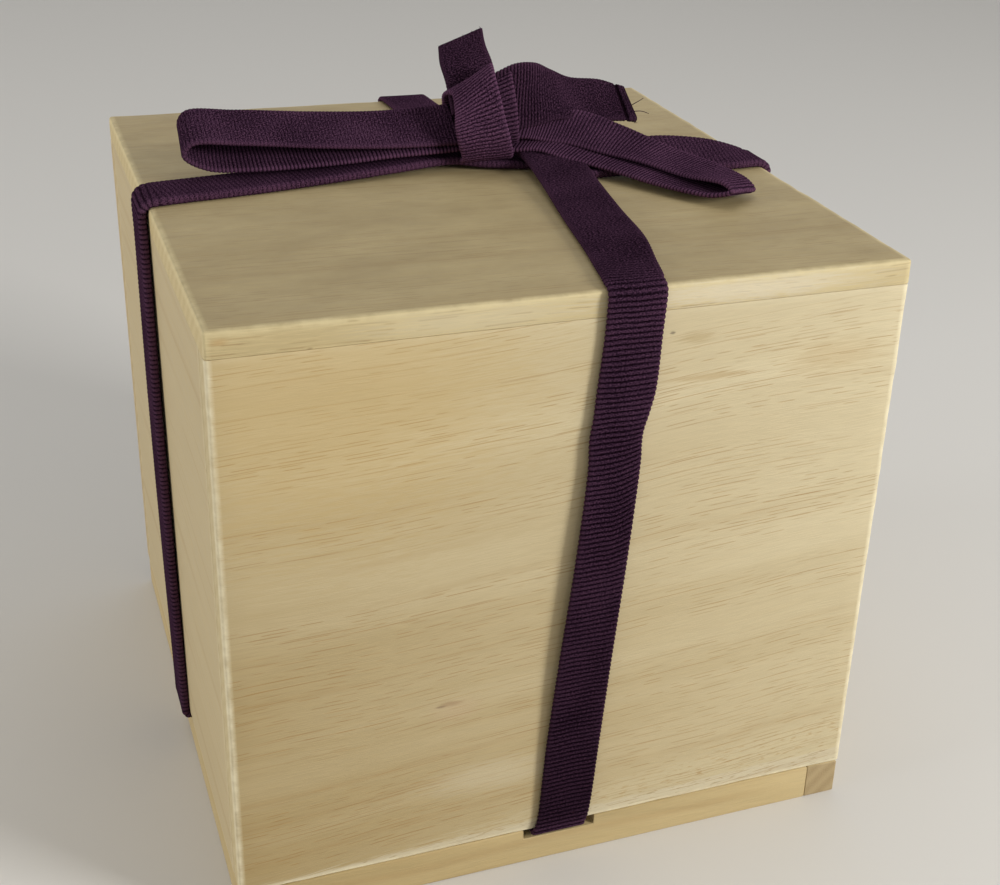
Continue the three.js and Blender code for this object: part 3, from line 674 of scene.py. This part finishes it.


# Silk and cotton tape: matt threads with a faint sheen, a painted highlight on the rib tops and painted shade,
# nearly black, in the grooves
def wovenTape():
    material, tree = newMaterial("silkCottonTape")
    coords = addNode(tree, "TexCoord")
    rib = addNode(tree, "Attribute", attribute_name="rib")
    fade = addNode(tree, "Attribute", attribute_name="ribShare")
    bead = addNode(tree, "Attribute", attribute_name="bead")
    # painted shade in the grooves and painted highlight on the rib tops, from the rib attribute
    grooveRange = {"From Min": 0.2, "From Max": 0.95, "To Min": tapeLook["grooveShade"], "To Max": tapeLook["ribTopHighlight"]}
    grooveShade = addNode(tree, "MapRange", grooveRange, {"Value": rib.outputs["Fac"]})
    grooveShade = addNode(tree, "Math", links={0: grooveShade.outputs[0], 1: fade.outputs["Fac"]}, operation="MULTIPLY")
    # threads, about 0.35 mm apart across and along, which show as a speckle
    threadPitch = tapeLook["threadPitch"]
    threads = addNode(tree, "Mapping", {"Scale": (1000 / threadPitch[0], 1000 / threadPitch[1], 1)},
                      {"Vector": coords.outputs["UV"]})
    speckle = addNode(tree, "TexNoise", {"Scale": 1.0, "Detail": 1.0}, {"Vector": threads.outputs[0]})
    worn = addNode(tree, "TexNoise", {"Scale": 70.0, "Detail": 2.0}, {"Vector": coords.outputs["Object"]})
    ribbed, smooth = tapeLook["threadShare"]
    strength = addNode(tree, "MapRange", {"To Min": smooth, "To Max": ribbed}, {"Value": fade.outputs["Fac"]})
    speckled = addNode(tree, "MapRange", {"From Min": 0.28, "From Max": 0.72, "To Min": -0.5, "To Max": 0.5},
                       {"Value": speckle.outputs[0]})
    speckled = addNode(tree, "Math", {2: 0.45}, {0: speckled.outputs[0], 1: strength.outputs[0]},
                       operation="MULTIPLY_ADD")
    uneven = addNode(tree, "MapRange", {"From Min": 0.3, "From Max": 0.7, "To Min": -0.1, "To Max": 0.1},
                     {"Value": worn.outputs[0]})
    total = addNode(tree, "Math", links={0: speckled.outputs[0], 1: grooveShade.outputs[0]}, operation="ADD")
    total = addNode(tree, "Math", links={0: total.outputs[0], 1: uneven.outputs[0]}, operation="ADD")
    total = addNode(tree, "Math", {1: tapeLook["selvedge"]}, {0: bead.outputs["Fac"], 2: total.outputs[0]},
                    operation="MULTIPLY_ADD", use_clamp=True)
    ramp = addNode(tree, "ValToRGB", links={0: total.outputs[0]})
    ramp.color_ramp.elements[0].color = colour(tapeLook["dark"])
    ramp.color_ramp.elements[1].color = colour(tapeLook["light"])
    middle = ramp.color_ramp.elements.new(0.45)
    middle.color = colour(tapeLook["base"])
    # painted light and shade: the tone attribute darkens the cloth where it lies in shade and brightens it where
    # it faces the lamp
    paintedShade = addNode(tree, "Attribute", attribute_name="tone")
    cloth = addNode(tree, "VectorMath", links={0: ramp.outputs[0], "Scale": paintedShade.outputs["Fac"]}, operation="SCALE")
    bump = addNode(tree, "Bump", {"Strength": 0.6, "Distance": 0.0001}, {"Height": speckle.outputs[0]})
    shader = addNode(tree, "BsdfPrincipled",
                     {"Roughness": 0.85, "IOR": 1.5, "Specular IOR Level": 0.0, "Sheen Weight": tapeLook["sheen"],
                      "Sheen Roughness": 0.45, "Sheen Tint": colour(tapeLook["sheenTint"])},
                     {"Base Color": cloth.outputs[0], "Normal": bump.outputs[0]})
    addNode(tree, "OutputMaterial", links={"Surface": shader.outputs[0]})
    return material


tapeCloth = wovenTape()

# Heights and places that the tape passes, in millimetres, as in the CAD
case = {"halfWidth": 87.0, "halfDepth": 87.75, "lidTop": 166.0, "rimWidth": 9.5}
route = {
    "topLift": 1.0, "lowOut": 1.2, "legLow": 13.9, "legTop": 159.2, "bendTop": 13.6,
    # underShade: painted shade, darker tape under the box
    "underZ": 10.0, "notchShift": -0.7, "lidTurn": 1.7, "underTurn": 1.6, "underShade": 0.6,
    "dipZ": 8.3, "dipEnd": 20.9, "dipRise": 52.2,    # where one tape dips below the other
    # painted shade: over this span a leg goes from its darker low tone to its high one
    "toneLow": 60, "toneSpan": 90,                   # where a leg goes from its low to its high tone
}


def shiftAt(edgeShift, z):
    share = (z - route["bendTop"]) / (case["lidTop"] - route["bendTop"])
    return route["notchShift"] + (edgeShift - route["notchShift"]) * share


# A row whose width lies level along the wall
def levelRow(along, out, shift, z, *shares):
    return (out, shift, z, 0, 1, 0, *shares) if along == "x" else (shift, out, z, 1, 0, 0, *shares)


# Half of the run under the box, from the middle outwards and up into the notch
def underRows(half, dipZ, along, direction):
    outside = half + route["lowOut"]
    places = [(route["dipEnd"], dipZ), (route["dipRise"], route["underZ"]),
              (half - case["rimWidth"], route["underZ"])]
    for share in (1, 0.75, 0.5, 0.25, 0):
        turn = share * math.pi / 2
        places.append((outside - route["underTurn"] * (1 - math.cos(turn)),
                       route["underZ"] + route["underTurn"] * (1 - math.sin(turn))))
    return [levelRow(along, direction * out, route["notchShift"], z, 1, 1, route["underShade"])
            for out, z in places]


# Up the wall, round the lid's edge and along the lid to the knot
def upperRows(run, half, along, direction):
    rows = []

    def put(out, z, aside=0.0, ribShare=1.0, widthShare=1.0, curl=0.0):
        low, high = run["tones"][:2]
        tone = low + (high - low) * min(max((z - route["toneLow"]) / route["toneSpan"], 0), 1)
        rows.append(levelRow(along, direction * (half + out), shiftAt(run["edge"], z) + aside, z, ribShare,
                             widthShare, tone, curl))

    highOut, bulge = run["out"]
    topLift = run.get("lift", route["topLift"])
    for z, aside, widthShare, *curl in run.get("leg", plainLeg):
        share = (z - route["legLow"]) / (route["legTop"] - route["legLow"])
        out = route["lowOut"] + (highOut - route["lowOut"]) * share + bulge * math.sin(math.pi * share) ** 2
        put(out, z, aside, 1.0, widthShare, *curl)
    for share in (0.1, 0.3, 0.5, 0.75, 1):
        turn = share * math.pi / 2
        put((highOut + route["lidTurn"]) * math.cos(turn) - route["lidTurn"],
            case["lidTop"] - route["lidTurn"] + (topLift + route["lidTurn"]) * math.sin(turn),
            ribShare=1 + (run["bendRibs"] - 1) * share, widthShare=run.get("edgeWidth", 1.0))
    edge = Vector(levelRow(along, direction * half, run["edge"], 0)[:2])
    way = Vector(run["root"]) - edge
    heading = way.normalized()
    if (along == "x" and way.x < 0) or (along == "y" and way.y > 0):
        heading = -heading
    for share, lift, tilt, aside, widthShare, *ribs in run["places"]:
        rise = math.radians(tilt)
        side = Vector((-heading.y * math.cos(rise), heading.x * math.cos(rise), math.sin(rise)))
        z = case["lidTop"] + topLift + lift + side.z * tapeLook["width"] / 2
        rows.append((edge.x + share * way.x - aside * heading.y, edge.y + share * way.y + aside * heading.x, z,
                     *side, ribs[0] if ribs else run["ribs"], widthShare, run["tones"][2]))
    return rows + run.get("beyond", [])


# Each run: where it crosses the lid's edge, how far its leg stands out at the top and bulges halfway, how high
# it lies on the lid, where it enters the knot, and on the way there rows of share of the way, lift, tilt in
# degrees, step aside, width and ribs; the leg has rows of height, step aside, width and curl
plainLeg = [(13.9, 0, 1), (57.5, 0, 1), (108.3, 0, 1), (154.8, 0, 1)]
# tones are painted light and shade: brightness factors for the leg low down, high up, and on the lid
runs = {
    "left": {"edge": 3.6, "out": (1.6, 0.45), "lift": 1.2, "bendRibs": 0.6, "root": (-2.4, 16.3), "ribs": 0.45,
             "tones": (0.6, 0.7, 0.76),
             "places": [(0.04, 0, 0, 0, 1), (0.35, 0, 0, 0, 1), (0.6, 0.5, 0, 0, 1), (0.8, 1.1, 0, 0, 1),
                        (1, 1.5, 0, 0, 1)],
             "beyond": [(6, 14.0, 168.0, -0.1, 1, 0, 0.4, 1, 0.7), (19, 11.4, 167.4, -0.1, 1, 0, 0.4, 1, 0.6),
                        (27, 9.9, 167.3, -0.1, 1, 0, 0.4, 1, 0.6)]},
    "right": {"edge": -2.7, "out": (1.6, 0.4), "lift": 1.2, "bendRibs": 0.45, "edgeWidth": 0.8,
              "root": (20.6, 0.1), "ribs": 0.45, "tones": (0.7, 0.8, 0.8),
              "places": [(0.04, 0, 2, 0, 0.84), (0.175, 0, 14, -0.8, 0.96), (0.335, 0, 20, 0, 1),
                         (0.47, 0, 22, 0, 1), (0.6, 0, 17, 0, 1), (0.8, 0, 3, 0, 1), (1, 0, 0, 0, 1)]},
    "front": {"edge": 12.4, "out": (1.5, 1.5), "bendRibs": 0.75, "root": (25.6, 7.2), "ribs": 0.08,
              "tones": (0.36, 0.62, 0.58),
              "leg": [(13.9, 0.79, 0.994), (40, 0.4, 1.011), (66, -0.01, 0.98), (92, 0.1, 0.942, 0.9),
                      (109, 0.15, 0.921, 2.2), (121, 0.05, 0.915, 1.8), (129, -0.48, 0.931, 0.5),
                      (134.5, 0.16, 0.975), (140, 0.53, 1.027), (154.8, 0.39, 0.991)],
              "places": [(0.04, 0, 1, 0.1, 1, 0.6), (0.12, 0, 3, 0.5, 1.02, 0.3), (0.25, 0, 8, 1.1, 1.05),
                         (0.5, 0.24, 5, 1.2, 1.05), (0.78, 1.44, 0, 1.3, 1.07), (0.92, 2.64, 0, 0.6, 1.1),
                         (1, 3.6, 0, -0.5, 1.15)]},
    "back": {"edge": 5.3, "out": (1.5, 0.6), "bendRibs": 0.45, "root": (9.4, 24.0), "ribs": 0.45,
             "tones": (0.7, 0.8, 0.8),
             "places": [(0.04, 0, 0, 0, 1), (0.4, 0, 0, 0, 1), (0.75, 0.24, 0, 0, 1), (1, 1.2, 0, 0, 1)]},
}


# Once round the box; dipZ is its height in the middle of the underside
def wholeTape(name, near, far, along, half, dipZ, nodes, thickness):
    nearRows = upperRows(runs[near], half, along, -1)
    farRows = upperRows(runs[far], half, along, 1)
    rows = nearRows[::-1] + underRows(half, dipZ, along, -1)[::-1] + underRows(half, dipZ, along, 1) + farRows
    piece, length = ribbedTape(name, rows, nodes, tapeLook["pitch"], thickness=thickness)
    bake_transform(piece)
    print(name, round(length * 1000), "mm")


wholeTape("tape_left_to_right", "left", "right", "x", case["halfWidth"], route["underZ"],
          ["tape_over_lid_left", "tape_leg_left", "tape_under_left_to_right", "tape_leg_right",
           "tape_over_lid_right"], tapeLook["sideThickness"])
wholeTape("tape_front_to_back", "front", "back", "y", case["halfDepth"], route["dipZ"],
          ["tape_over_lid_front", "tape_leg_front", "tape_under_front_to_back", "tape_leg_back",
           "tape_over_lid_back"], tapeLook["thickness"])


# Loose threads and fibres, in millimetres
threadLook = {"sides": 6, "step": 0.3, "radius": 0.15, "fibreRadius": 0.09, "fibreRise": 0.25, "tone": 0.8}


# Threads that have worked loose from a cut end, each a thin tube through its own places
def looseThreads(name, strands):
    bm = bmesh.new()
    shade = bm.verts.layers.float.new("tone")
    for radius, places in strands:
        route = smoothRoute([(*place, 0, 0, 1) for place in places], threadLook["step"])[0]
        rings = len(route) - 1
        strand = bmesh.ops.create_grid(bm, x_segments=rings, y_segments=threadLook["sides"], size=0.5)["verts"]
        for v in strand:
            i = round((v.co.x + 0.5) * rings)
            turn = 2 * math.pi * (v.co.y + 0.5)
            ahead = (route[min(i + 1, rings)][0] - route[max(i - 1, 0)][0]).normalized()
            side = ahead.orthogonal().normalized()
            thin = radius * (1 - 0.5 * i / rings)
            v.co = (route[i][0] + (side * math.cos(turn) + ahead.cross(side) * math.sin(turn)) * thin) * mm
            v[shade] = threadLook["tone"]
    bmesh.ops.remove_doubles(bm, verts=bm.verts, dist=2e-6)
    bmesh.ops.holes_fill(bm, edges=[e for e in bm.edges if e.is_boundary], sides=0)
    bmesh.ops.recalc_face_normals(bm, faces=bm.faces)
    piece = addPiece(name, bm, tapeCloth, smoothAngle=80)
    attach(piece, "lid")
    return piece


# The short fibres along a cut end: from the edge's two corners, pointing out
def frayed(first, last, out, count, length):
    rise = threadLook["fibreRise"]
    first, last, out = Vector(first), Vector(last), Vector(out).normalized()
    strands = []
    for i in range(count):
        start = first.lerp(last, (i + random.uniform(0.2, 0.8)) / count)
        aside = (last - first).normalized() * random.uniform(-0.5, 0.5)
        lean = aside + Vector((0, 0, random.uniform(-rise, rise)))
        reach = length * random.uniform(0.4, 1)
        strands.append((threadLook["fibreRadius"],
                        [start - out * 0.5, start + (out + lean * 0.3) * reach / 2,
                         start + (out + lean).normalized() * reach]))
    return strands


# The bow: for each piece its CAD nodes, the hem of its far end, how it is held, its tone, which is painted light
# and shade (the band that faces the lamp brighter, the tails darker), and rows of place, way of the width, ribs
# and width
bow = {
    "knot_band": (["knot_wrap"], 0, "folded", 1.12, [
        (7.7, 8.9, 168.8, 1, 0, 0, 0.85), (7.3, 5.5, 170.6, 1, 0, 0.04, 0.85), (5.6, 3.4, 175.6, 1, 0, 0.12, 0.85),
        (4.3, 4.2, 181.4, 1, 0, 0.28, 0.85, 0.97), (4.1, 7.6, 187.7, 0.9, 0, 0.59, 0.85, 0.95),
        (4.8, 13, 190.5, 0.9, 0, 0.61, 1, 0.95), (5, 18, 187.8, 1, 0, 0.35), (6, 21, 182.8, 1, 0, 0.2),
        (7, 21.8, 176.1, 1, 0, 0.1), (7.7, 20.2, 171, 1, 0, 0), (7.9, 16.8, 168.8, 1, 0, 0)]),
    "knot_second_turn": (["knot_fold"], 0, "folded", 0.8, [
        (10.3, 10.6, 172.4, 1, 0, 0), (9.8, 8.2, 173.9, 1, 0, 0.04), (9.0, 6.2, 177.2, 1, 0, 0.12),
        (8.7, 6.5, 181.6, 1, 0, 0.22), (8.6, 9.2, 187.4, 0.9, 0, 0.34), (9.2, 13, 190.0, 0.9, 0, 0.34),
        (10.2, 16.8, 187.6, 1, 0, 0.3), (11.1, 19.2, 182.3, 1, 0, 0.2), (12.1, 19.9, 177, 1, 0, 0.1),
        (12.8, 18.5, 173.2, 1, 0, 0), (13.0, 15.8, 171.3, 1, 0, 0)]),
    "loop_left": (["bow_loop_left"], 0, "folded", 0.86, [
        (2, 14.4, 176.2, 0, 0.84, 0.55), (-20, 15.05, 174.0, 0, 0.93, 0.36), (-34, 15.05, 172.8, 0, 0.95, 0.3),
        (-57, 15.2, 172.5, 0.04, 0.95, 0.3), (-69, 15.1, 173.8, 0.08, 0.94, 0.33, 0.8),
        (-75, 15, 177.6, 0.07, 0.94, 0.33, 0.5), (-73.2, 15, 180.8, 0.04, 0.93, 0.36, 0.4),
        (-60, 15.2, 180.3, 0, 0.93, 0.38, 0.35), (-40, 15.5, 178.4, 0, 0.92, 0.42, 0.35),
        (-20, 14.9, 177.4, 0, 0.9, 0.45, 0.35), (0, 14.3, 177.8, 0, 0.85, 0.53, 0.5)]),
    "loop_right": (["bow_loop_right"], 0, "folded", 0.92, [
        (14, 9.4, 172.2, 0.62, 0.72, 0.3, 1, 0.45), (19, 8.0, 172.5, 0.62, 0.72, 0.3, 1, 0.42),
        (25, 7.4, 172.8, 0.66, 0.68, 0.26, 1, 0.62), (33, 4.5, 171.8, 0.75, 0.62, 0.2),
        (43.4, -5.6, 170.0, 0.82, 0.55, 0.12), (51.2, -18.2, 168.9, 0.86, 0.5, 0.05),
        (57, -27.5, 168.3, 0.86, 0.5, -0.04), (61.8, -34, 168.2, 0.82, 0.56, -0.12),
        (65.2, -37.2, 169.5, 0.79, 0.58, -0.2), (64.6, -34, 170.9, 0.8, 0.57, -0.17, 0.8),
        (59.9, -20.4, 170.8, 0.86, 0.5, 0.03, 0.8), (52.4, -6.9, 171.8, 0.82, 0.56, 0.08, 0.8),
        (43.6, 2.8, 173.9, 0.68, 0.67, 0.3, 0.8), (34.6, 10.6, 175.8, 0.57, 0.67, 0.4, 0.8),
        (26.5, 10.8, 176.5, 0.5, 0.66, 0.52, 1, 0.74), (19.3, 9.3, 175.8, 0.5, 0.66, 0.5, 1, 0.34),
        (14, 10.5, 175.5, 0.5, 0.66, 0.5, 1, 0.34)]),
    "tail_standing": (["bow_tail_standing"], 0, "laid", 0.58, [
        (6.3, 14, 183, 1, 0.05, 0.35, 0.3), (6.0, 19.5, 190.7, 1, 0.1, 0.32, 0.15),
        (6.0, 25.5, 194.6, 1, 0.15, 0.3, 0.15), (7.4, 32.2, 197.5, 1, 0.2, 0.3, 0.1)]),
    "tail_lying": (["bow_tail_lying"], 3.0, "laid", 0.55, [
        (9, 11.0, 184.6, 0.1, 0.1, 0.99, 1), (16, 11.0, 185.5, 0.1, 0.15, 0.98, 1, 1.22),
        (22.4, 12.5, 185.4, 0.1, 0.28, 0.94, 0.9, 1.2), (30.4, 16.4, 184.1, 0.05, 0.64, 0.77, 0.3, 1.05),
        (39, 20.1, 181.3, 0, 0.785, 0.62, 0.1, 1.05), (48, 20.5, 180.5, 0.08, 0.83, 0.555, 0.05, 1.05),
        (56.3, 20.8, 178.8, 0.06, 0.905, 0.42, 0.05, 1.03)]),
}
loose = {
    "tail_standing": frayed((0.6, 30.9, 195.3), (14.2, 33.6, 199.8), (0.2, 0.9, 0.35), 26, 1.3),
    "tail_lying": frayed((55.85, 14.1, 174.6), (56.75, 27.6, 180.8), (1, 0, -0.1), 22, 1.1)
    + [(threadLook["radius"], [(56.0, 20.5, 178.0), (59.3, 21.3, 179.2), (61.9, 23.2, 179.6)]),
       (threadLook["radius"], [(56.0, 18.5, 177.1), (58.9, 17.6, 177.3), (61.6, 18.0, 176.3)])],
}
for name, (nodes, hem, held, tone, rows) in bow.items():
    piece, length = ribbedTape(name, rows, nodes, tapeLook["knotPitch"], hem=hem, tone=tone)
    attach(piece, "lid")
    ends = [looseThreads(name + "_threads", loose[name])] if name in loose else []
    print(name, round(length * 1000), "mm")

# The tape bunched inside the knot, folded back and forth under the band
inside = {"left": 3.5, "right": 11.5, "low": 174.0, "rise": 2.9, "layers": 4, "middle": 12.7, "width": 11.0}
rows = []
for layer in range(inside["layers"]):
    z = inside["low"] + layer * inside["rise"]
    ends = (inside["left"], inside["right"]) if layer % 2 == 0 else (inside["right"], inside["left"])
    turn = 1 if layer % 2 == 0 else -1
    rows += [(ends[0], inside["middle"], z, 0, 1, 0.06), (sum(ends) / 2, inside["middle"], z + 0.2, 0, 1, 0.04),
             (ends[1], inside["middle"], z, 0, 1, 0.06)]
    if layer < inside["layers"] - 1:
        rows.append((ends[1] + turn * inside["rise"] / 2, inside["middle"], z + inside["rise"] / 2, 0, 1, 0.06))
piece, length = ribbedTape("knot_filling", rows, ["knot_core"], tapeLook["knotPitch"], width=inside["width"])
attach(piece, "lid")
print("bow made")
